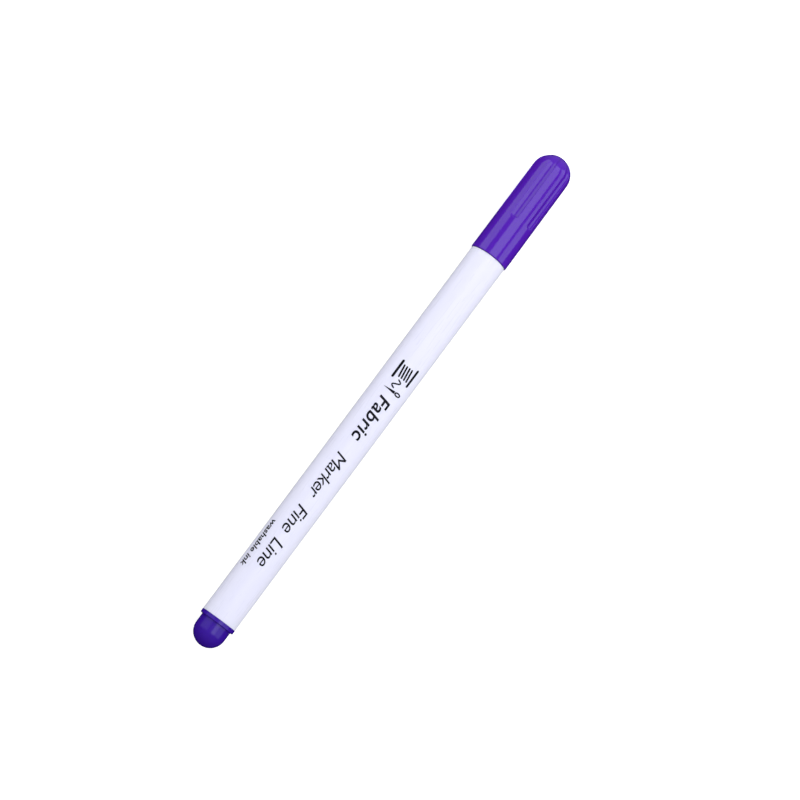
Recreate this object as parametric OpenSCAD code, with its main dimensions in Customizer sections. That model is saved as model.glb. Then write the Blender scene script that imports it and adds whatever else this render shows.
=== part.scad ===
// Fabric marking pen: a slim fibre-tip pen with a pull-off cap.
// The pen lies along X with its cap towards +X. The origin is on the pen's axis, half way along it.
// Every round part is a profile of [radius, x] points turned about the X axis.

/* [Pen] */
// Overall length, from the plug's dome to the cap's crown
pen_length = 138; // [132:1:146]

/* [Barrel] */
// Outside diameter at the front end
front_d = 9.04; // [8.8:0.02:9.1]
// Outside diameter of the parallel rear stretch
rear_d = 8.72; // [8.5:0.02:8.8]
// Length of the parallel rear stretch
rear_length = 22; // [20:1:60]
// Bore diameter
bore_d = 7.1; // [7.1:0.02:7.2]
// Ribs inside the bore, which centre the reservoir
rib_count = 6; // [3:1:8]

/* [Cap] */
// Length of the cap
cap_length = 28.9; // [28.7:0.1:30.5]
// Outside diameter at the mouth
mouth_d = 9.48; // [9.4:0.02:9.7]
// Outside diameter under the domed crown
crown_d = 9.32; // [9.2:0.02:9.4]
// Number of grip flutes
flute_count = 6; // [4:1:8]
// Radius of a flute's round section
flute_r = 1.6; // [1.4:0.1:2]
// Depth of a flute where the domed crown begins
flute_depth = 0.42; // [0.3:0.02:0.44]
// Distance from the mouth to the flutes' lower ends
flute_start = 10.1; // [8:0.1:14]
// Length of the slope at a flute's lower end
flute_ramp = 0.55; // [0.4:0.05:1]
// Turn of the first flute from straight up towards +Y, in degrees
flute_turn = 13; // [0:1:59]

/* [Plug] */
// Length of the plug's visible head, flange and dome together
plug_head = 6.95; // [6.4:0.05:7.5]
// Diameter of the flange against the barrel
flange_d = 8.78; // [8.6:0.02:9]
// Thickness of the flange
flange_t = 0.9; // [0.6:0.1:1.2]
// Diameter of the post and its dome
post_d = 7.64; // [7.5:0.02:7.7]

/* [Nib] */
// Diameter of the fibre nib
nib_d = 2; // [1.8:0.1:2.1]
// Length of nib in front of the section's nose
nib_out = 4; // [3:0.1:4.4]
// Radius of the rounded point
point_r = 0.4; // [0.3:0.05:0.5]
// Half angle of the point's cone, in degrees
point_angle = 17; // [14:1:25]

/* [Hidden] */
$fn = 96;

slip = 0.02;         // radial clearance where two pieces slide or bear on each other
press_slip = 0.01;   // radial clearance that stands for a press fit
seat_gap = 0.1;      // hairline between the barrel's front end and the cap's rim
edge = 0.15;         // chamfer on outside edges
overrun = 1;         // how far a cutter runs past what it cuts
seam_turn = 3;       // keeps the turned surfaces' seam, in degrees, off the line that the pen rests on

// Stations along the axis
x_tail = -pen_length / 2;
x_crown = pen_length / 2;
x_rear = x_tail + plug_head;
x_mouth = x_crown - cap_length;
x_front = x_mouth - seat_gap;

// Radii
front_r = front_d / 2;
rear_r = rear_d / 2;
bore_r = bore_d / 2;
mouth_r = mouth_d / 2;
crown_r = crown_d / 2;
flange_r = flange_d / 2;
post_r = post_d / 2;
nib_r = nib_d / 2;

// Snap rings that hold the plug and the section in the barrel
ring_rise = 0.07;
ring_w = 1;
ring_inset = 3;      // from the end of the barrel to the middle of the ring

// Cap inside
cap_bore_r = 4;
cap_bead_r = post_r + 0.06;  // so the cap also fits over the plug's post
cap_bead_x = x_mouth + 2;
liner_bore_r = 3.7;
liner_depth = 10;    // from the mouth to the step that the liner's flange meets
crown_wall = 0.9;

// Front section
spigot_length = 8;
collar_r = 3.95;
collar_t = 0.8;
neck_bead_r = cap_bead_r - slip;
neck_r = neck_bead_r - 0.07;
neck_length = 7.2;
neck_bead_x = x_front + 3;
bead_w = 0.7;
seal_r = 2.93;
seal_x = x_front + 8.8;
seal_length = 4.4;
nose_x = x_front + 18.6;
nose_r = 1.55;
guide_x = x_front + 9;
chamber_r = 2.3;
inlet_r = 2.9;
vent_count = 4;
vent_size = 0.35;

// Plug inside the barrel
plug_spigot = 7.5;
plug_cavity_r = 2.9;
finger_count = 4;
finger_w = 1.4;

// Reservoir
core_r = 3.1;
film_t = 0.1;
rib_w = 0.5;
reservoir_gap = 0.3; // between the reservoir and the section behind which it sits
reservoir_front = x_front - spigot_length - reservoir_gap;
reservoir_rear = x_rear + plug_spigot + 4.9;
nib_bite = 5;        // how far the nib's tail pushes into the reservoir

// Liner
liner_wall = 0.6;
liner_flange_r = 3.96;
liner_flange_t = 0.8;
liner_end = nose_x + nib_out + 2;

// Turns a profile of [radius, x] about the pen's axis.
module turned() {
    rotate([seam_turn, 0, 0]) rotate([0, 90, 0]) rotate_extrude() children();
}

// A low ring's profile: a flat top with a sloping lead on each side.
module ring_profile(base_r, top_r, x_middle, width) {
    lead = width / 4;
    polygon([
        [base_r, x_middle - width / 2],
        [top_r, x_middle - width / 2 + lead],
        [top_r, x_middle + width / 2 - lead],
        [base_r, x_middle + width / 2]
    ]);
}

// Places copies of a piece that points up (+Z) evenly round the pen's axis.
module around_axis(count, first = 0) {
    for (i = [0 : count - 1]) rotate([-first + i * 360 / count, 0, 0]) children();
}

// White moulded tube, open at both ends, with snap grooves and centring ribs in its bore.
module barrel() {
    color([0.93, 0.93, 0.98]) {
        turned() difference() {
            polygon([
                [bore_r, x_rear], [rear_r, x_rear], [rear_r, x_rear + rear_length],
                [front_r, x_front - edge], [front_r - edge, x_front], [bore_r, x_front]
            ]);
            for (x = [x_rear + ring_inset, x_front - ring_inset])
                ring_profile(bore_r - slip, bore_r + ring_rise + slip, x, ring_w + 4 * slip);
        }
        around_axis(rib_count)
            translate([reservoir_rear, -rib_w / 2, core_r + film_t + 2 * slip])
                cube([reservoir_front - reservoir_rear, rib_w, bore_r - core_r]);
    }
}

// Domed plug for the barrel's rear: flange and post outside, hollow spigot and stop fingers inside.
module end_plug() {
    spigot_r = bore_r - press_slip;
    dome_x = x_tail + post_r;
    color([0.24, 0.14, 0.6]) {
        turned() difference() {
            union() {
                intersection() {
                    translate([0, dome_x]) circle(r = post_r);
                    translate([0, x_tail - overrun]) square([post_r + overrun, post_r + overrun]);
                }
                translate([0, dome_x]) square([post_r, x_rear - dome_x]);
                polygon([
                    [0, x_rear - flange_t], [flange_r - edge, x_rear - flange_t],
                    [flange_r, x_rear - flange_t + edge], [flange_r, x_rear - edge],
                    [flange_r - edge, x_rear], [0, x_rear]
                ]);
                polygon([
                    [0, x_rear - edge], [spigot_r, x_rear - edge],
                    [spigot_r, x_rear + plug_spigot - 2 * edge],
                    [spigot_r - edge, x_rear + plug_spigot], [0, x_rear + plug_spigot]
                ]);
                ring_profile(spigot_r - slip, bore_r + ring_rise, x_rear + ring_inset, ring_w);
            }
            union() {
                translate([0, dome_x]) circle(r = plug_cavity_r);
                translate([0, dome_x]) square([plug_cavity_r, x_rear + plug_spigot - dome_x + overrun]);
            }
        }
        around_axis(finger_count)
            intersection() {
                translate([x_rear + plug_spigot - overrun, -finger_w / 2, 0])
                    cube([reservoir_rear - slip - x_rear - plug_spigot + overrun, finger_w, bore_r]);
                turned() translate([plug_cavity_r, x_rear])
                    square([spigot_r - edge - plug_cavity_r, plug_spigot * 2]);
            }
    }
}

// Nose of the pen: spigot in the barrel, neck for the cap, seal land, and cone that holds the nib.
module front_section() {
    color([0.95, 0.95, 0.97])
        difference() {
            turned() {
                polygon([
                    [inlet_r, x_front - spigot_length],
                    [bore_r - press_slip - edge, x_front - spigot_length],
                    [bore_r - press_slip, x_front - spigot_length + edge],
                    [bore_r - press_slip, x_front], [collar_r, x_front],
                    [collar_r, x_front + collar_t], [neck_r, x_front + collar_t],
                    [neck_r, x_front + neck_length], [seal_r, seal_x],
                    [seal_r, seal_x + seal_length], [nose_r, nose_x - edge],
                    [nose_r - edge, nose_x], [nib_r + slip, nose_x],
                    [nib_r + slip, guide_x], [chamber_r, guide_x - chamber_r + nib_r],
                    [chamber_r, x_front - 2], [inlet_r, x_front - 4]
                ]);
                ring_profile(bore_r - press_slip - slip, bore_r + ring_rise, x_front - ring_inset, ring_w);
                ring_profile(neck_r - slip, neck_bead_r, neck_bead_x, bead_w);
            }
            around_axis(vent_count)
                translate([guide_x - overrun, -vent_size / 2, nib_r - vent_size])
                    cube([nose_x - guide_x + 2 * overrun, vent_size, 2 * vent_size]);
        }
}

// Fibre rod with a rounded conical point and a blunt tail inside the reservoir.
module writing_nib() {
    tip_x = nose_x + nib_out;
    ball_x = tip_x - point_r;
    cone_length = (nib_r - point_r / cos(point_angle)) / tan(point_angle);
    color([0.55, 0.4, 0.85])
        turned() {
            polygon([
                [0, reservoir_front - nib_bite], [nib_r * 0.7, reservoir_front - nib_bite],
                [nib_r, reservoir_front - nib_bite + nib_r / 2], [nib_r, ball_x - cone_length],
                [point_r * cos(point_angle), ball_x + point_r * sin(point_angle)], [0, ball_x]
            ]);
            intersection() {
                translate([0, ball_x]) circle(r = point_r);
                translate([0, ball_x]) square(point_r);
            }
        }
}

// Fibre bundle that holds the ink, with a socket for the nib's tail.
module ink_reservoir() {
    color([0.62, 0.5, 0.86])
        turned() difference() {
            translate([0, reservoir_rear]) square([core_r, reservoir_front - reservoir_rear]);
            translate([0, reservoir_front - nib_bite - slip])
                square([nib_r + slip, nib_bite + overrun]);
        }
}

// Plastic film wrapped round the fibre bundle.
module reservoir_film() {
    color([0.85, 0.86, 0.92])
        turned() translate([core_r + slip, reservoir_rear])
            square([film_t, reservoir_front - reservoir_rear]);
}

// Cutter for a flute that points up: a round bar along the cap with a tapered lower end,
// which runs out through the dome.
module flute() {
    taper_x = x_mouth + flute_start + flute_ramp;
    translate([0, 0, crown_r - flute_depth + flute_r])
        turned() polygon([
            [0, taper_x - 2 * flute_ramp], [flute_r - 2 * flute_depth, taper_x - 2 * flute_ramp],
            [flute_r, taper_x], [flute_r, taper_x + cap_length], [0, taper_x + cap_length]
        ]);
}

// Outer cap: tapered, fluted and domed, with a snap bead in its mouth and a seat for the liner.
module cap_shell() {
    dome_x = x_crown - crown_r;
    inner_dome_x = x_crown - crown_wall - liner_bore_r;
    color([0.42, 0.27, 0.76])
        difference() {
            turned() {
                difference() {
                    union() {
                        intersection() {
                            translate([0, dome_x]) circle(r = crown_r);
                            translate([0, dome_x]) square(crown_r + overrun);
                        }
                        polygon([
                            [0, x_mouth], [mouth_r - edge, x_mouth], [mouth_r, x_mouth + edge],
                            [crown_r, dome_x], [0, dome_x]
                        ]);
                    }
                    translate([0, inner_dome_x]) circle(r = liner_bore_r);
                    polygon([
                        [0, x_mouth - overrun], [cap_bore_r, x_mouth - overrun],
                        [cap_bore_r, cap_bead_x - bead_w / 2], [cap_bead_r, cap_bead_x - bead_w / 4],
                        [cap_bead_r, cap_bead_x + bead_w / 4], [cap_bore_r, cap_bead_x + bead_w / 2],
                        [cap_bore_r, x_mouth + liner_depth], [liner_bore_r, x_mouth + liner_depth],
                        [liner_bore_r, inner_dome_x], [0, inner_dome_x]
                    ]);
                }
            }
            around_axis(flute_count, flute_turn) flute();
        }
}

// Inner cap: a cup that seals on the section's land and keeps the nib from drying.
module cap_liner() {
    seat_x = x_mouth + liner_depth;
    inner_r = seal_r + slip;
    color([0.9, 0.9, 0.95])
        turned() polygon([
            [inner_r, seat_x - liner_flange_t], [liner_flange_r, seat_x - liner_flange_t],
            [liner_flange_r, seat_x - slip], [liner_bore_r - press_slip, seat_x - slip],
            [liner_bore_r - press_slip, liner_end - 2 * edge],
            [liner_bore_r - press_slip - 2 * edge, liner_end],
            [0, liner_end], [0, liner_end - liner_wall],
            [inner_r - liner_wall / 2, liner_end - liner_wall],
            [inner_r + slip, seal_x + seal_length + 1],
            [inner_r, seal_x + seal_length]
        ]);
}

barrel();
end_plug();
front_section();
writing_nib();
ink_reservoir();
reservoir_film();
cap_shell();
cap_liner();
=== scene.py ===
"""Fabric marking pen: the looks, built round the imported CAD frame.

Profiles are worked out in millimetres as (x, r) points, x along the pen and r out from its axis. Every mesh
is made in metres. An angle round the pen is measured from +Z towards +Y.
"""
import math

import bmesh
import bpy
from mathutils import Matrix, Vector, noise


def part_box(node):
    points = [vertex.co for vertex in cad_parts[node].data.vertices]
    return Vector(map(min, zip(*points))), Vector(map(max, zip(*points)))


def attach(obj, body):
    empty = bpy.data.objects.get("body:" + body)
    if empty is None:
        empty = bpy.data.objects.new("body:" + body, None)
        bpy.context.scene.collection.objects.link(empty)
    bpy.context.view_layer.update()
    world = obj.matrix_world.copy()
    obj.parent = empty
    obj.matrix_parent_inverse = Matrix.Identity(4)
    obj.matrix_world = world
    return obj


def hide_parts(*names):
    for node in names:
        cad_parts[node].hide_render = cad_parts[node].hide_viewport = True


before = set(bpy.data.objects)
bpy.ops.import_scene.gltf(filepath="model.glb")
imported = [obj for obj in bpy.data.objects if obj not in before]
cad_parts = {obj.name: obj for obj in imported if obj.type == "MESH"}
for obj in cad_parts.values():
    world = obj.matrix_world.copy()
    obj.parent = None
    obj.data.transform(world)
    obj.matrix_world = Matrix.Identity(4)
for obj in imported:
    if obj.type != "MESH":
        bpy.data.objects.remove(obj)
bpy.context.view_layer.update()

MM = 0.001
COLUMNS = [math.radians(2 * i) for i in range(180)]
EDGE = 0.12          # usual fillet on a moulded outside edge
SOFT = 0.05          # fillet on a small or inside edge
SLIP = 0.02          # clearance between pieces, as in the CAD
PRESS = 0.01         # clearance of a pressed fit, as in the CAD


def span(node):
    """(lowest x, highest x, greatest radius) of a CAD node, in millimetres."""
    low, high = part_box(node)
    return low.x / MM, high.x / MM, max(high.y, high.z, -low.y, -low.z) / MM


x_rear, x_front, front_r = span("barrel")
x_tail, x_fingers, flange_r = span("end_plug")
x_spigot, x_nose, collar_r = span("front_section")
x_nib_tail, x_nib_tip, nib_r = span("writing_nib")
x_mouth, x_crown, mouth_r = span("cap_shell")
x_liner, x_liner_end, liner_flange_r = span("cap_liner")
x_core_rear, x_core_front, _ = span("ink_reservoir")

# ---------------------------------------------------------------- mesh tools


def rounded(corners):
    """Outline through corners (x, r, fillet radius), with an arc at each corner whose radius isn't 0."""
    points = []
    for i, (x, r, fillet) in enumerate(corners):
        corner = Vector((x, r))
        if fillet == 0:
            points.append(corner)
            continue
        before = (Vector(corners[i - 1][:2]) - corner).normalized()
        after = (Vector(corners[(i + 1) % len(corners)][:2]) - corner).normalized()
        half = before.angle(after) / 2
        centre = corner + (before + after).normalized() * fillet / math.sin(half)
        start = corner + before * fillet / math.tan(half) - centre
        end = corner + after * fillet / math.tan(half) - centre
        turn = start.angle_signed(end)
        steps = max(4, round(math.degrees(abs(turn)) * (0.12 + fillet * 0.06)))
        for k in range(steps + 1):
            points.append(centre + Matrix.Rotation(-turn * k / steps, 2) @ start)
    return [p for i, p in enumerate(points) if i == 0 or (p - points[i - 1]).length > 1e-5]


def rows(points, closed, spacing=3.0, guard=0.06):
    """The outline with long stretches cut up: one guard point near each end, which keeps shading flat."""
    out = []
    for i, point in enumerate(points):
        out.append(point)
        if i == len(points) - 1 and not closed:
            break
        step = points[(i + 1) % len(points)] - point
        if step.length < 4 * guard:
            continue
        cuts = max(1, math.ceil(step.length / spacing))
        places = [guard / step.length] + [k / cuts for k in range(1, cuts)] + [1 - guard / step.length]
        out += [point + step * place for place in places]
    return out


def turned(name, outline, shape=None, columns=COLUMNS, closed=False):
    """Mesh of an outline turned about the X axis.

    shape(x, r, angle) returns the moved (x, r) of a point. closed joins the outline's end to its start.
    A stretch of outline that lies on the axis has no surface.
    """
    bm = bmesh.new()
    rings = []
    for x, r in rows(outline, closed):
        if r < 1e-6:
            rings.append([bm.verts.new((x * MM, 0, 0))])
            continue
        ring = []
        for angle in columns:
            px, pr = shape(x, r, angle) if shape else (x, r)
            ring.append(bm.verts.new((px * MM, pr * math.sin(angle) * MM, pr * math.cos(angle) * MM)))
        rings.append(ring)
    pairs = list(zip(rings, rings[1:])) + ([(rings[-1], rings[0])] if closed else [])
    for a, b in pairs:
        if len(a) == len(b) == 1:
            continue
        for i in range(len(columns)):
            j = (i + 1) % len(columns)
            if len(a) == 1:
                bm.faces.new((a[0], b[i], b[j]))
            elif len(b) == 1:
                bm.faces.new((a[i], b[0], a[j]))
            else:
                bm.faces.new((a[i], b[i], b[j], a[j]))
    return finished(name, bm)


def finished(name, bm):
    """Object made from a bmesh, with outward normals, smooth faces and sharp edges kept sharp."""
    bmesh.ops.recalc_face_normals(bm, faces=bm.faces)
    mesh = bpy.data.meshes.new(name)
    bm.to_mesh(mesh)
    bm.free()
    mesh.shade_smooth()
    mesh.set_sharp_from_angle(angle=math.radians(40))
    piece = bpy.data.objects.new(name, mesh)
    bpy.context.scene.collection.objects.link(piece)
    return piece


def turn_from(angle, count, first=0.0):
    """Signed angle to the nearest of count directions evenly spaced round the axis."""
    pitch = 2 * math.pi / count
    return (angle - first + pitch / 2) % pitch - pitch / 2


def arc_drop(across, radius):
    """How far an arc of this radius has dropped at a distance across from its top."""
    return radius - math.sqrt(radius * radius - across * across)


# ---------------------------------------------------------------- materials


def new_material(name):
    """A material with its Principled shader and a helper that adds and links nodes."""
    material = bpy.data.materials.new(name)
    material.use_nodes = True
    tree = material.node_tree
    shader = tree.nodes["Principled BSDF"]

    def add(kind, inputs=None, **settings):
        node = tree.nodes.new(kind)
        for key, value in settings.items():
            setattr(node, key, value)
        for key, value in (inputs or {}).items():
            if isinstance(value, bpy.types.NodeSocket):
                tree.links.new(value, node.inputs[key])
            else:
                node.inputs[key].default_value = value
        return node

    return material, tree, shader, add


def moulded_plastic(name, colour, deep, roughness, subsurface=0.0, coat=0.0, coat_roughness=0.12,
                    specular=0.5, diffuse=0.0):
    """Moulded plastic: faint pigment drift, uneven gloss with lengthwise handling marks, fine texture."""
    material, tree, shader, add = new_material(name)
    place = add("ShaderNodeTexCoord").outputs["Object"]
    drift = add("ShaderNodeTexNoise", {"Vector": place, "Scale": 90.0, "Detail": 3.0, "Roughness": 0.55})
    pigment = add("ShaderNodeMix", {"Factor": drift.outputs["Fac"], "A": (*deep, 1), "B": (*colour, 1)},
                  data_type="RGBA")
    along = add("ShaderNodeMapping", {"Vector": place, "Scale": (0.06, 1.0, 1.0)})
    marks = add("ShaderNodeTexNoise", {"Vector": along.outputs["Vector"], "Scale": 2600.0, "Detail": 4.0})
    gloss = add("ShaderNodeMapRange", {"Value": marks.outputs["Fac"], "From Min": 0.3, "From Max": 0.75,
                                       "To Min": roughness - 0.05, "To Max": roughness + 0.08})
    skin = add("ShaderNodeTexNoise", {"Vector": place, "Scale": 5200.0, "Detail": 2.0})
    bump = add("ShaderNodeBump", {"Height": skin.outputs["Fac"], "Strength": 0.3, "Distance": 0.000006})
    tree.links.new(pigment.outputs["Result"], shader.inputs["Base Color"])
    tree.links.new(gloss.outputs["Result"], shader.inputs["Roughness"])
    tree.links.new(bump.outputs["Normal"], shader.inputs["Normal"])
    shader.inputs["IOR"].default_value = 1.49
    shader.inputs["Subsurface Weight"].default_value = subsurface
    shader.inputs["Subsurface Radius"].default_value = (1.0, 1.0, 1.0)
    shader.inputs["Subsurface Scale"].default_value = 0.0006
    shader.inputs["Specular IOR Level"].default_value = specular
    shader.inputs["Coat Weight"].default_value = coat
    shader.inputs["Coat Roughness"].default_value = coat_roughness
    shader.inputs["Diffuse Roughness"].default_value = diffuse
    return material


def soaked_fibre(name, pale, inked):
    """Bundled fibre soaked with ink: threads along the pen, darker where the ink gathers between them."""
    material, tree, shader, add = new_material(name)
    place = add("ShaderNodeTexCoord").outputs["Object"]
    along = add("ShaderNodeMapping", {"Vector": place, "Scale": (0.04, 1.0, 1.0)})
    threads = add("ShaderNodeTexNoise", {"Vector": along.outputs["Vector"], "Scale": 9000.0, "Detail": 3.0})
    contrast = add("ShaderNodeMapRange", {"Value": threads.outputs["Fac"], "From Min": 0.35,
                                          "From Max": 0.65})
    tint = add("ShaderNodeMix", {"Factor": contrast.outputs["Result"], "A": (*inked, 1), "B": (*pale, 1)},
               data_type="RGBA")
    bump = add("ShaderNodeBump", {"Height": threads.outputs["Fac"], "Strength": 0.7, "Distance": 0.00002})
    tree.links.new(tint.outputs["Result"], shader.inputs["Base Color"])
    tree.links.new(bump.outputs["Normal"], shader.inputs["Normal"])
    shader.inputs["Roughness"].default_value = 0.75
    shader.inputs["Sheen Weight"].default_value = 0.25
    return material


def clear_film(name):
    """Thin wrap round the reservoir: mostly see-through, with slight crinkles."""
    material, tree, shader, add = new_material(name)
    place = add("ShaderNodeTexCoord").outputs["Object"]
    crinkle = add("ShaderNodeTexNoise", {"Vector": place, "Scale": 700.0, "Detail": 3.0})
    tint = add("ShaderNodeMix", {"Factor": crinkle.outputs["Fac"], "A": (0.72, 0.73, 0.82, 1),
                                 "B": (0.84, 0.85, 0.93, 1)}, data_type="RGBA")
    bump = add("ShaderNodeBump", {"Height": crinkle.outputs["Fac"], "Strength": 0.4, "Distance": 0.00003})
    tree.links.new(tint.outputs["Result"], shader.inputs["Base Color"])
    tree.links.new(bump.outputs["Normal"], shader.inputs["Normal"])
    shader.inputs["Roughness"].default_value = 0.2
    shader.inputs["Alpha"].default_value = 0.5
    return material


def printed_ink(name):
    """Pad-printed ink: black, slightly thin in places, a little duller than the barrel."""
    material, tree, shader, add = new_material(name)
    place = add("ShaderNodeTexCoord").outputs["Object"]
    cover = add("ShaderNodeTexNoise", {"Vector": place, "Scale": 3000.0, "Detail": 3.0})
    tint = add("ShaderNodeMix", {"Factor": cover.outputs["Fac"], "A": (0.002, 0.002, 0.004, 1),
                                 "B": (0.008, 0.008, 0.018, 1)}, data_type="RGBA")
    tree.links.new(tint.outputs["Result"], shader.inputs["Base Color"])
    shader.inputs["Roughness"].default_value = 0.6
    shader.inputs["Specular IOR Level"].default_value = 0.15
    return material


WHITE = moulded_plastic("barrel_white", (0.835, 0.84, 1.0), (0.815, 0.82, 0.99), 0.3, subsurface=0.35,
                        diffuse=1.0)
VIOLET = moulded_plastic("cap_violet", (0.088, 0.0125, 0.455), (0.079, 0.010, 0.42), 0.25, coat=1.0,
                         specular=0.0)
DEEP_VIOLET = moulded_plastic("plug_violet", (0.042, 0.007, 0.345), (0.036, 0.005, 0.315), 0.25, coat=1.0,
                              coat_roughness=0.18, specular=0.0)
NATURAL = moulded_plastic("liner_natural", (0.74, 0.74, 0.78), (0.70, 0.70, 0.75), 0.45, subsurface=0.3)
SECTION = moulded_plastic("section_white", (0.84, 0.84, 0.88), (0.82, 0.82, 0.86), 0.35, subsurface=0.2)
NIB = soaked_fibre("nib_fibre", (0.35, 0.22, 0.72), (0.12, 0.05, 0.40))
CORE = soaked_fibre("reservoir_fibre", (0.50, 0.38, 0.80), (0.22, 0.12, 0.55))
FILM = clear_film("reservoir_wrap")
INK = printed_ink("print_black")


def dress(piece, material, body, slot, *replaced):
    """Gives a piece its material and its body, and hides the CAD node that it stands for. The slot is not
    used.
    """
    piece.data.materials.append(material)
    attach(piece, body)
    if replaced:
        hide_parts(*replaced)
    return piece


# ---------------------------------------------------------------- barrel

REAR_R = 4.36        # parallel rear stretch
REAR_LENGTH = 22.0
BORE_R = 3.55
SPIGOT_R = BORE_R - PRESS
RING_INSET = 3.0     # snap ring's middle, from the barrel's end
RING_RISE = 0.07
RING_HALF = 0.5
RIB_COUNT = 6
RIB_R = 3.24
RIB_TURN = math.radians(4)
x_taper = x_rear + REAR_LENGTH


def barrel_radius(x):
    """Outside radius of the barrel at a station, in millimetres."""
    return REAR_R + (front_r - REAR_R) * max(0.0, x - x_taper) / (x_front - x_taper)


def snap_ring(middle):
    """Corners of the low ring on a spigot that snaps into a groove of the barrel."""
    top = SPIGOT_R + RING_RISE
    return [(middle - RING_HALF, SPIGOT_R, 0), (middle - RING_HALF / 2, top, 0),
            (middle + RING_HALF / 2, top, 0), (middle + RING_HALF, SPIGOT_R, 0)]


def make_barrel():
    def groove(middle):
        rise = BORE_R + RING_RISE + SLIP
        half = RING_HALF + 2 * SLIP
        return [(middle + half, BORE_R, 0), (middle + half / 2, rise, 0),
                (middle - half / 2, rise, 0), (middle - half, BORE_R, 0)]

    def ribs(x, r, angle):
        inside = r <= BORE_R + 1e-6 and x_core_rear <= x <= x_core_front
        if inside and abs(turn_from(angle, RIB_COUNT)) <= RIB_TURN + 1e-6:
            return x, RIB_R
        return x, r

    outline = rounded([
        (x_rear, BORE_R, SOFT), (x_rear, REAR_R, EDGE), (x_taper, REAR_R, 0), (x_front, front_r, EDGE),
        (x_front, BORE_R, SOFT),
        *groove(x_front - RING_INSET),
        (x_core_front + SLIP, BORE_R, 0), (x_core_front, BORE_R, 0),
        (x_core_rear, BORE_R, 0), (x_core_rear - SLIP, BORE_R, 0),
        *groove(x_rear + RING_INSET),
    ])
    return turned("barrel_shell", outline, ribs, closed=True)


dress(make_barrel(), WHITE, "pen", "barrel", "barrel")

# ---------------------------------------------------------------- end plug

POST_R = 3.82
FLANGE_T = 0.9
PLUG_SPIGOT = 7.5
PLUG_CAVITY_R = 2.9
FINGER_COUNT = 4
FINGER_TURN = math.radians(12)
FINGER_STEP = 0.15   # how far a finger stands inside the spigot's skin


def make_end_plug():
    x_spigot_end = x_rear + PLUG_SPIGOT
    x_cavity = x_tail + POST_R - PLUG_CAVITY_R

    def fingers(x, r, angle):
        if x > x_spigot_end - 0.1 and abs(turn_from(angle, FINGER_COUNT)) <= FINGER_TURN + 1e-6:
            return x + x_fingers - x_spigot_end, min(r, SPIGOT_R - FINGER_STEP)
        return x, r

    outline = rounded([
        (x_tail, 0, 0), (x_tail, POST_R, POST_R), (x_rear - FLANGE_T, POST_R, 0.15),
        (x_rear - FLANGE_T, flange_r, SOFT), (x_rear, flange_r, SOFT), (x_rear, SPIGOT_R, SOFT),
        *snap_ring(x_rear + RING_INSET),
        (x_spigot_end, SPIGOT_R, 0.08), (x_spigot_end, PLUG_CAVITY_R, SOFT),
        (x_cavity, PLUG_CAVITY_R, PLUG_CAVITY_R), (x_cavity, 0, 0),
    ])
    return turned("end_plug_moulding", outline, fingers)


dress(make_end_plug(), DEEP_VIOLET, "pen", "plug", "end_plug")

# ---------------------------------------------------------------- front section and nib

COLLAR_T = 0.8
NECK_BEAD_R = POST_R + 0.04
NECK_R = NECK_BEAD_R - 0.07
NECK_LENGTH = 7.2
NECK_BEAD_X = 3.0    # this and the next two are measured from the barrel's front
SEAL_X = 8.8
GUIDE_X = 9.0        # where the bore narrows to guide the nib
SEAL_R = 2.93
SEAL_LENGTH = 4.4
NOSE_R = 1.55
CHAMBER_R = 2.3      # bore behind the nib's guide
INLET_R = 2.9        # bore at the reservoir's end
GUIDE_CONE = 1.3     # lengths of the two cones between these bores
INLET_CONE = 2.0
GUIDE_R = nib_r + SLIP
BEAD_HALF = 0.35     # half the width of the neck's bead and of the cap's
VENT_COUNT = 4
VENT_TURN = math.radians(10)
VENT_DEPTH = 0.35


def snap_bead(middle, base_r, top_r):
    """Corners of a rounded bead that stands on, or in, a surface of radius base_r."""
    return [(middle - BEAD_HALF, base_r, 0), (middle - BEAD_HALF / 2, top_r, 0.1),
            (middle + BEAD_HALF / 2, top_r, 0.1), (middle + BEAD_HALF, base_r, 0)]


def make_front_section():
    x_seal = x_front + SEAL_X
    x_guide = x_front + GUIDE_X
    x_chamber = x_front - 2.0

    def vents(x, r, angle):
        if r < GUIDE_R + 0.01 and abs(turn_from(angle, VENT_COUNT)) <= VENT_TURN:
            return x, r + VENT_DEPTH
        return x, r

    outline = rounded([
        (x_spigot, INLET_R, SOFT), (x_spigot, SPIGOT_R, 0.15),
        *snap_ring(x_front - RING_INSET),
        (x_front, SPIGOT_R, 0), (x_front, collar_r, SOFT), (x_front + COLLAR_T, collar_r, 0.08),
        (x_front + COLLAR_T, NECK_R, SOFT),
        *snap_bead(x_front + NECK_BEAD_X, NECK_R, NECK_BEAD_R),
        (x_front + NECK_LENGTH, NECK_R, 0.5), (x_seal, SEAL_R, 0.4), (x_seal + SEAL_LENGTH, SEAL_R, 0.8),
        (x_nose, NOSE_R, 0.15), (x_nose, GUIDE_R, SOFT),
        (x_guide, GUIDE_R, 0), (x_guide - GUIDE_CONE, CHAMBER_R, 0.3), (x_chamber, CHAMBER_R, 0.3),
        (x_chamber - INLET_CONE, INLET_R, 0.3),
    ])
    return turned("front_section_moulding", outline, vents, closed=True)


dress(make_front_section(), SECTION, "pen", "section", "front_section")


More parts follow.
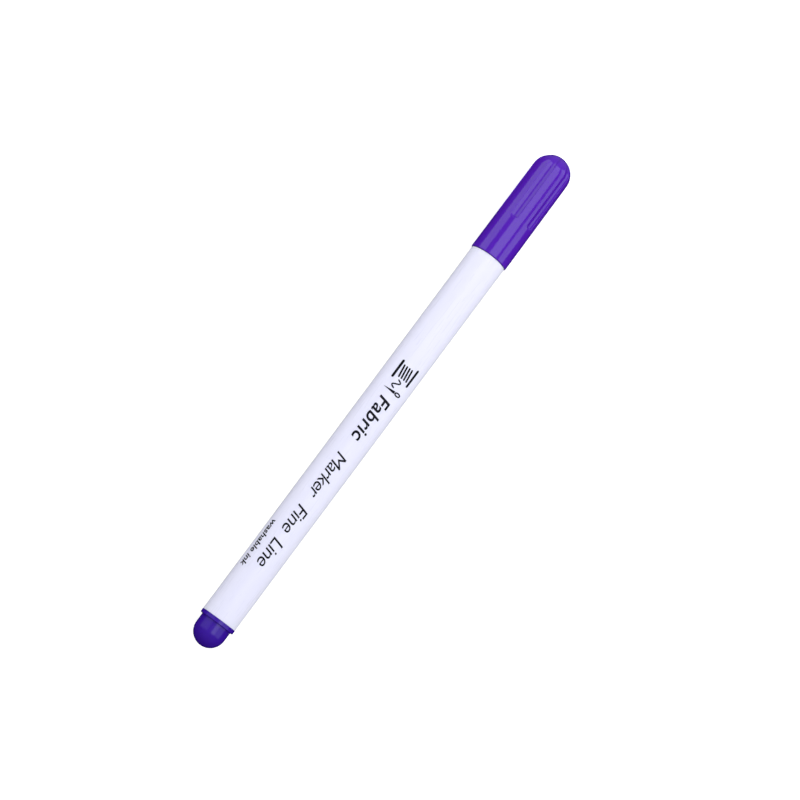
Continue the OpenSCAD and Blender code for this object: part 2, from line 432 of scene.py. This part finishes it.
def make_nib():
    point_r = 0.4
    cone_angle = math.radians(17)
    ball = x_nib_tip - point_r
    cone_start = ball - (nib_r - point_r / math.cos(cone_angle)) / math.tan(cone_angle)
    ball_steps = 8
    tip = []
    for k in range(ball_steps + 1):
        a = cone_angle + (math.pi / 2 - cone_angle) * k / ball_steps
        tip.append((ball + point_r * math.sin(a), point_r * math.cos(a) if k < ball_steps else 0, 0))
    outline = rounded([(x_nib_tail, 0, 0), (x_nib_tail, nib_r, 0.3), (cone_start, nib_r, 0.4), *tip])

    def fibres(x, r, angle):
        ridge = noise.noise(Vector((math.cos(angle) * 9, math.sin(angle) * 9, x * 0.15)))
        return x, r * (0.985 + 0.015 * ridge)

    return turned("writing_nib_fibre", outline, fibres)


dress(make_nib(), NIB, "pen", "nib", "writing_nib")

# ---------------------------------------------------------------- cap

CROWN_R = 4.66
CROWN_WALL = 0.9
CAP_BORE_R = 4.0
CAP_BEAD_R = POST_R + 0.06
CAP_BEAD_X = 2.0     # from the mouth
LINER_DEPTH = 10.0
LINER_BORE_R = 3.7
FLUTE_COUNT = 6
FLUTE_FIRST = math.radians(13)
FLUTE_R = 1.6        # radius of a flute's round section
FLUTE_DEPTH = 0.42   # where the dome begins
FLUTE_START = 10.1
FLUTE_RAMP = 0.55    # length of the slope at a flute's lower end
FLUTE_HALF = 1.15    # a little more than half a flute's width
FLUTE_FADE = 0.57    # how fast a flute grows shallow over the dome
FLUTE_LEAD = 0.2     # how far below its lower end a flute's soft edge still counts
ARRIS = 0.015        # how soft the edges along a flute are


def cap_columns():
    """Angles round the cap: close together over each flute, wide apart between flutes."""
    flute_half = math.degrees(FLUTE_HALF / CROWN_R)
    pitch = 360 / FLUTE_COUNT
    fine = 52
    coarse = 9
    angles = []
    for i in range(FLUTE_COUNT):
        middle = math.degrees(FLUTE_FIRST) + i * pitch
        angles += [middle - flute_half + 2 * flute_half * k / fine for k in range(fine)]
        land = pitch - 2 * flute_half
        angles += [middle + flute_half + land * k / coarse for k in range(coarse)]
    return [math.radians(a) for a in angles]


def make_cap_shell():
    dome = x_crown - CROWN_R
    inner_crown = x_crown - CROWN_WALL
    seat = x_mouth + LINER_DEPTH
    flute_end = x_mouth + FLUTE_START
    ramp_end = flute_end + FLUTE_RAMP

    def wall_radius(x):
        return mouth_r + (CROWN_R - mouth_r) * min(1.0, (x - x_mouth) / (dome - x_mouth))

    def fluted(x, r, angle):
        beyond = max(0.0, x - dome)
        reach = math.hypot(beyond, r)
        across = r * math.sin(turn_from(angle, FLUTE_COUNT, FLUTE_FIRST))
        if x < flute_end - FLUTE_LEAD or reach < CROWN_R - SLIP or abs(across) > FLUTE_HALF:
            return x, r
        middle = FLUTE_DEPTH + wall_radius(x) - CROWN_R - FLUTE_FADE * (1 - r / reach)
        rise = FLUTE_DEPTH * max(0.0, ramp_end - x) / FLUTE_RAMP
        section = arc_drop(across, max(FLUTE_HALF, FLUTE_R - rise))
        depth = middle - rise - arc_drop(across, CROWN_R) - section
        depth = ARRIS * math.log(1 + math.exp(depth / ARRIS))
        return x - depth * beyond / reach, r - depth * r / reach

    flute_rows = []
    row_count = 24
    for k in range(row_count + 1):
        x = flute_end - FLUTE_LEAD + (FLUTE_RAMP + 0.3) * k / row_count
        flute_rows.append((x, wall_radius(x), 0))
    outline = rounded([
        (x_mouth, CAP_BORE_R, 0.15), (x_mouth, mouth_r, 0.18),
        *flute_rows, (dome, CROWN_R, 0),
    ])
    dome_steps = 48
    for k in range(1, dome_steps + 1):
        a = math.pi / 2 * k / dome_steps
        r = CROWN_R * math.cos(a) if k < dome_steps else 0
        outline.append(Vector((dome + CROWN_R * math.sin(a), r)))
    almost_full = LINER_BORE_R - 0.01   # fillet of the inner dome, just short of meeting the axis
    bead = snap_bead(x_mouth + CAP_BEAD_X, CAP_BORE_R, CAP_BEAD_R)
    outline += rounded([
        (inner_crown, 0, 0), (inner_crown, LINER_BORE_R, almost_full),
        (seat, LINER_BORE_R, SOFT), (seat, CAP_BORE_R, SOFT), *reversed(bead),
        (x_mouth + 0.3, CAP_BORE_R, 0),
    ])
    return turned("cap_shell_moulding", outline, fluted, cap_columns(), closed=True)


dress(make_cap_shell(), VIOLET, "cap", "cap", "cap_shell")


def make_cap_liner():
    inner_r = SEAL_R + SLIP
    outer_r = LINER_BORE_R - PRESS
    wall = 0.6
    land_end = x_front + SEAL_X + SEAL_LENGTH
    x_flange = x_mouth + LINER_DEPTH - SLIP
    outline = rounded([
        (x_liner, inner_r, SOFT), (x_liner, liner_flange_r, SOFT), (x_flange, liner_flange_r, SOFT),
        (x_flange, outer_r, SOFT), (x_liner_end, outer_r, 0.3), (x_liner_end, 0, 0),
        (x_liner_end - wall, 0, 0), (x_liner_end - wall, inner_r - wall / 2, 0.3),
        (land_end + 1, inner_r + SLIP, 0), (land_end, inner_r, 0),
    ])
    return turned("cap_liner_moulding", outline, closed=True)


dress(make_cap_liner(), NATURAL, "cap", "liner", "cap_liner")

# ---------------------------------------------------------------- pieces that keep their CAD shape

for node, material in (("ink_reservoir", CORE), ("reservoir_film", FILM)):
    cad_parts[node].data.materials.clear()
    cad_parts[node].data.materials.append(material)

# ---------------------------------------------------------------- print on the barrel

INK_LIFT = 0.012     # top of the ink above the barrel
INK_ROOT = 0.012     # bottom of the ink below the barrel's skin
STRIP = 0.16         # width of the strips that a flat print is cut into before it is wrapped


def flat_text(words, size, slant=0.0, weight=0.0, spacing=1.0):
    """Flat mesh of some words in millimetres, in Blender's own typeface, starting at the origin."""
    curve = bpy.data.curves.new("words", "FONT")
    curve.body = words
    curve.size = size
    curve.shear = slant
    curve.offset = weight
    curve.space_character = spacing
    curve.resolution_u = 6
    holder = bpy.data.objects.new("words", curve)
    bpy.context.scene.collection.objects.link(holder)
    bpy.context.view_layer.update()
    mesh = bpy.data.meshes.new_from_object(holder.evaluated_get(bpy.context.evaluated_depsgraph_get()))
    bm = bmesh.new()
    bm.from_mesh(mesh)
    bpy.data.objects.remove(holder)
    bpy.data.meshes.remove(mesh)
    return bm


def wrap_print(name, bm, x_start, turn):
    """Wraps a flat print on the barrel. Its reading direction is towards the plug, its top towards -Y."""
    low = min(v.co.y for v in bm.verts)
    high = max(v.co.y for v in bm.verts)
    for k in range(1, math.ceil((high - low) / STRIP)):
        cut = (0, low + k * STRIP, 0)
        bmesh.ops.bisect_plane(bm, geom=bm.verts[:] + bm.edges[:] + bm.faces[:], plane_co=cut,
                               plane_no=(0, 1, 0), dist=1e-5)
    bmesh.ops.remove_doubles(bm, verts=bm.verts, dist=1e-4)
    for v in bm.verts:
        v.co.z = INK_LIFT
    top = bm.faces[:]
    below = bmesh.ops.extrude_face_region(bm, geom=top)
    for v in (item for item in below["geom"] if isinstance(item, bmesh.types.BMVert)):
        v.co.z = -INK_ROOT
    for v in bm.verts:
        x = x_start - v.co.x
        angle = turn - v.co.y / front_r
        r = barrel_radius(x) + v.co.z
        v.co = Vector((x * MM, r * math.sin(angle) * MM, r * math.cos(angle) * MM))
    return finished(name, bm)


def stroke(bm, path, width):
    """Adds a flat line with round ends, drawn through (u, v) points, to a print."""
    half = width / 2
    end_steps = 8
    path = [Vector(point) for point in path]
    outline = []
    for way in (path, path[::-1]):
        for i, point in enumerate(way):
            run = (way[min(i + 1, len(way) - 1)] - way[max(i - 1, 0)]).normalized()
            outline.append(point + Vector((-run.y, run.x)) * half)
        for k in range(1, end_steps):
            side = Vector((-run.y, run.x)) * half
            outline.append(way[-1] + Matrix.Rotation(-math.pi * k / end_steps, 2) @ side)
    bm.faces.new([bm.verts.new((u, v, 0)) for u, v in outline])


def spool_and_needle():
    """Flat emblem in millimetres: a spool of thread whose end runs to a needle."""
    bm = bmesh.new()
    rim_left, rim_right = 0.5, 4.7
    wound_left, wound_right = 1.2, 4.0
    turn_count, turn_pitch, turn_climb = 4, 0.72, 0.4
    needle_u = 7.6
    eye_v, tip_v = 3.2, -0.9
    steps = 24
    circle = [2 * math.pi * k / steps for k in range(steps)]

    for rim_v in (-0.45, 3.85):
        stroke(bm, [(rim_left, rim_v), (rim_right, rim_v)], 0.6)
    for k in range(turn_count):
        v = turn_climb + turn_pitch * k
        stroke(bm, [(wound_left, v), (wound_right, v + turn_climb)], 0.42)
    thread = [(rim_right + 2.1 * k / steps, 1.35 + 0.8 * math.sin(2 * math.pi * k / steps))
              for k in range(steps + 1)]
    stroke(bm, thread, 0.34)

    inner = [bm.verts.new((needle_u + 0.2 * math.cos(a), eye_v + 0.5 * math.sin(a), 0)) for a in circle]
    outer = [bm.verts.new((needle_u + 0.52 * math.cos(a), eye_v + 0.9 * math.sin(a), 0)) for a in circle]
    for k in range(steps):
        j = (k + 1) % steps
        bm.faces.new((inner[k], outer[k], outer[j], inner[j]))
    shaft = [(needle_u - 0.35, eye_v - 0.95), (needle_u, tip_v), (needle_u + 0.35, eye_v - 0.95)]
    bm.faces.new([bm.verts.new((u, v, 0)) for u, v in shaft])
    bmesh.ops.triangulate(bm, faces=bm.faces)
    bmesh.ops.recalc_face_normals(bm, faces=bm.faces)
    return bm


WORDS = (
    # name, words, type size, slant, weight, spacing, x where it starts, turn of its baseline
    ("print_fabric", "Fabric", 4.5, 0.2, 0.07, 1.06, -0.1, 12.0),
    ("print_marker", "Marker", 4.3, 0.25, 0.004, 0.9, -16.0, 14.5),
    ("print_fine", "Fine", 4.5, 0.25, 0.004, 0.95, -30.6, 14.5),
    ("print_line", "Line", 4.5, 0.25, 0.004, 0.95, -39.8, 14.5),
    ("print_washable_ink", "washable ink", 2.4, 0.2, 0.045, 1.0, -36.9, 58.0),
)
for name, words, size, slant, weight, spacing, x_start, turn in WORDS:
    flat = flat_text(words, size, slant, weight, spacing)
    dress(wrap_print(name, flat, x_start, math.radians(turn)), INK, "pen", "print_ink")
dress(wrap_print("print_emblem", spool_and_needle(), 9.3, math.radians(13)), INK, "pen", "print_ink")

# ---------------------------------------------------------------- floor, light and camera

TILT = math.radians(8.3)          # the cap end leans away from the camera
ROLL = math.radians(53.36)        # the pen's slope in the picture
DISTANCE = 0.59                   # from the pen's middle, in metres like the lights' sizes
FIELD = math.radians(17.388)      # full angle of view
ASIDE = 0.0036                    # how far right of the pen's middle the camera looks
BELOW = 0.00048                   # and how far below it
TAIL_LENGTH = 0.2                 # length of the softboxes over the plug
TAIL_MIDDLE = -0.08               # and where their middle is along X


def make_floor():
    size = 3.0
    bm = bmesh.new()
    bmesh.ops.create_grid(bm, x_segments=1, y_segments=1, size=size)
    floor = finished("floor", bm)
    floor.location.z = -mouth_r * MM
    material, _, shader, _ = new_material("floor_pale")
    shader.inputs["Base Color"].default_value = (0.9, 0.9, 0.9, 1)
    shader.inputs["Roughness"].default_value = 0.9
    shader.inputs["Emission Color"].default_value = (1, 1, 1, 1)
    shader.inputs["Emission Strength"].default_value = 0.55
    floor.data.materials.append(material)
    floor.visible_glossy = False
    floor.visible_diffuse = False


def make_softbox(name, start, end, radiance, length=0.83, x_middle=0.435):
    """Strip light along the pen, seen from it between two angles from straight up, positive towards -Y."""
    distance = 0.6
    middle = math.radians((start + end) / 2)
    width = 2 * distance * math.tan(math.radians(end - start) / 2)
    light = bpy.data.lights.new(name, "AREA")
    light.shape = "RECTANGLE"
    light.size = length
    light.size_y = width
    light.energy = radiance * math.pi * length * width
    box = bpy.data.objects.new(name, light)
    box.matrix_world = (Matrix.Translation((x_middle, 0, 0)) @ Matrix.Rotation(middle, 4, "X")
                        @ Matrix.Translation((0, 0, distance)))
    box.visible_camera = False
    bpy.context.scene.collection.objects.link(box)


def make_world():
    """Studio surroundings: white to the camera, an even soft light on the pen and, in its reflections, dark
    with a paler patch ahead of the cap."""
    world = bpy.data.worlds.new("studio")
    world.use_nodes = True
    bpy.context.scene.world = world
    tree = world.node_tree

    def add(kind, **inputs):
        node = tree.nodes.new(kind)
        for key, value in inputs.items():
            socket = node.inputs[key.replace("_", " ")]
            if isinstance(value, bpy.types.NodeSocket):
                tree.links.new(value, socket)
            else:
                socket.default_value = value
        return node

    direction = add("ShaderNodeTexCoord").outputs["Generated"]
    split = add("ShaderNodeSeparateXYZ", Vector=direction)
    up = split.outputs["Z"]
    fill = add("ShaderNodeMapRange", Value=up, From_Min=-0.3, From_Max=1.0, To_Min=0.42, To_Max=0.62)
    above = add("ShaderNodeMapRange", Value=up, From_Min=0.0, From_Max=1.0, To_Min=0.0, To_Max=0.12)
    ahead = add("ShaderNodeMapRange", Value=split.outputs["X"], From_Min=0.5, From_Max=1.0, To_Min=0.0,
                To_Max=0.35)
    mirrored = add("ShaderNodeMath", Value=above.outputs["Result"])
    tree.links.new(ahead.outputs["Result"], mirrored.inputs[1])
    ray = add("ShaderNodeLightPath")
    seen = add("ShaderNodeMix", Factor=ray.outputs["Is Glossy Ray"], A=fill.outputs["Result"],
               B=mirrored.outputs[0])
    strength = add("ShaderNodeMix", Factor=ray.outputs["Is Camera Ray"], A=seen.outputs["Result"], B=1.0)
    background = tree.nodes["Background"]
    background.inputs["Color"].default_value = (1, 1, 1, 1)
    tree.links.new(strength.outputs["Result"], background.inputs["Strength"])


def make_camera():
    data = bpy.data.cameras.new("camera")
    data.sensor_width = 36
    data.lens_unit = "FOV"
    data.angle = FIELD
    data.clip_start = 0.01
    camera = bpy.data.objects.new("camera", data)
    back = Vector((-math.sin(TILT), 0, math.cos(TILT)))
    along = Vector((math.cos(TILT), 0, math.sin(TILT)))
    left = back.cross(along)
    right = along * math.cos(ROLL) - left * math.sin(ROLL)
    up = along * math.sin(ROLL) + left * math.cos(ROLL)
    turn = Matrix((right, up, back)).transposed().to_4x4()
    place = back * DISTANCE + right * ASIDE - up * BELOW
    camera.matrix_world = Matrix.Translation(place) @ turn
    bpy.context.scene.collection.objects.link(camera)
    bpy.context.scene.camera = camera


make_floor()
make_softbox("softbox_left", -84, -40, 1.3)
make_softbox("softbox_top", -12, 34, 1.7)
make_softbox("softbox_right", 49, 86, 1.4)
make_softbox("softbox_tail_left", -84, -22, 0.4, TAIL_LENGTH, TAIL_MIDDLE)
make_softbox("softbox_tail_middle", 9, 36, 1.3, TAIL_LENGTH, TAIL_MIDDLE)
make_softbox("softbox_tail_right", 36, 82, 0.6, TAIL_LENGTH, TAIL_MIDDLE)
make_world()
make_camera()
bpy.context.scene.view_settings.view_transform = "Standard"

bpy.context.view_layer.update()
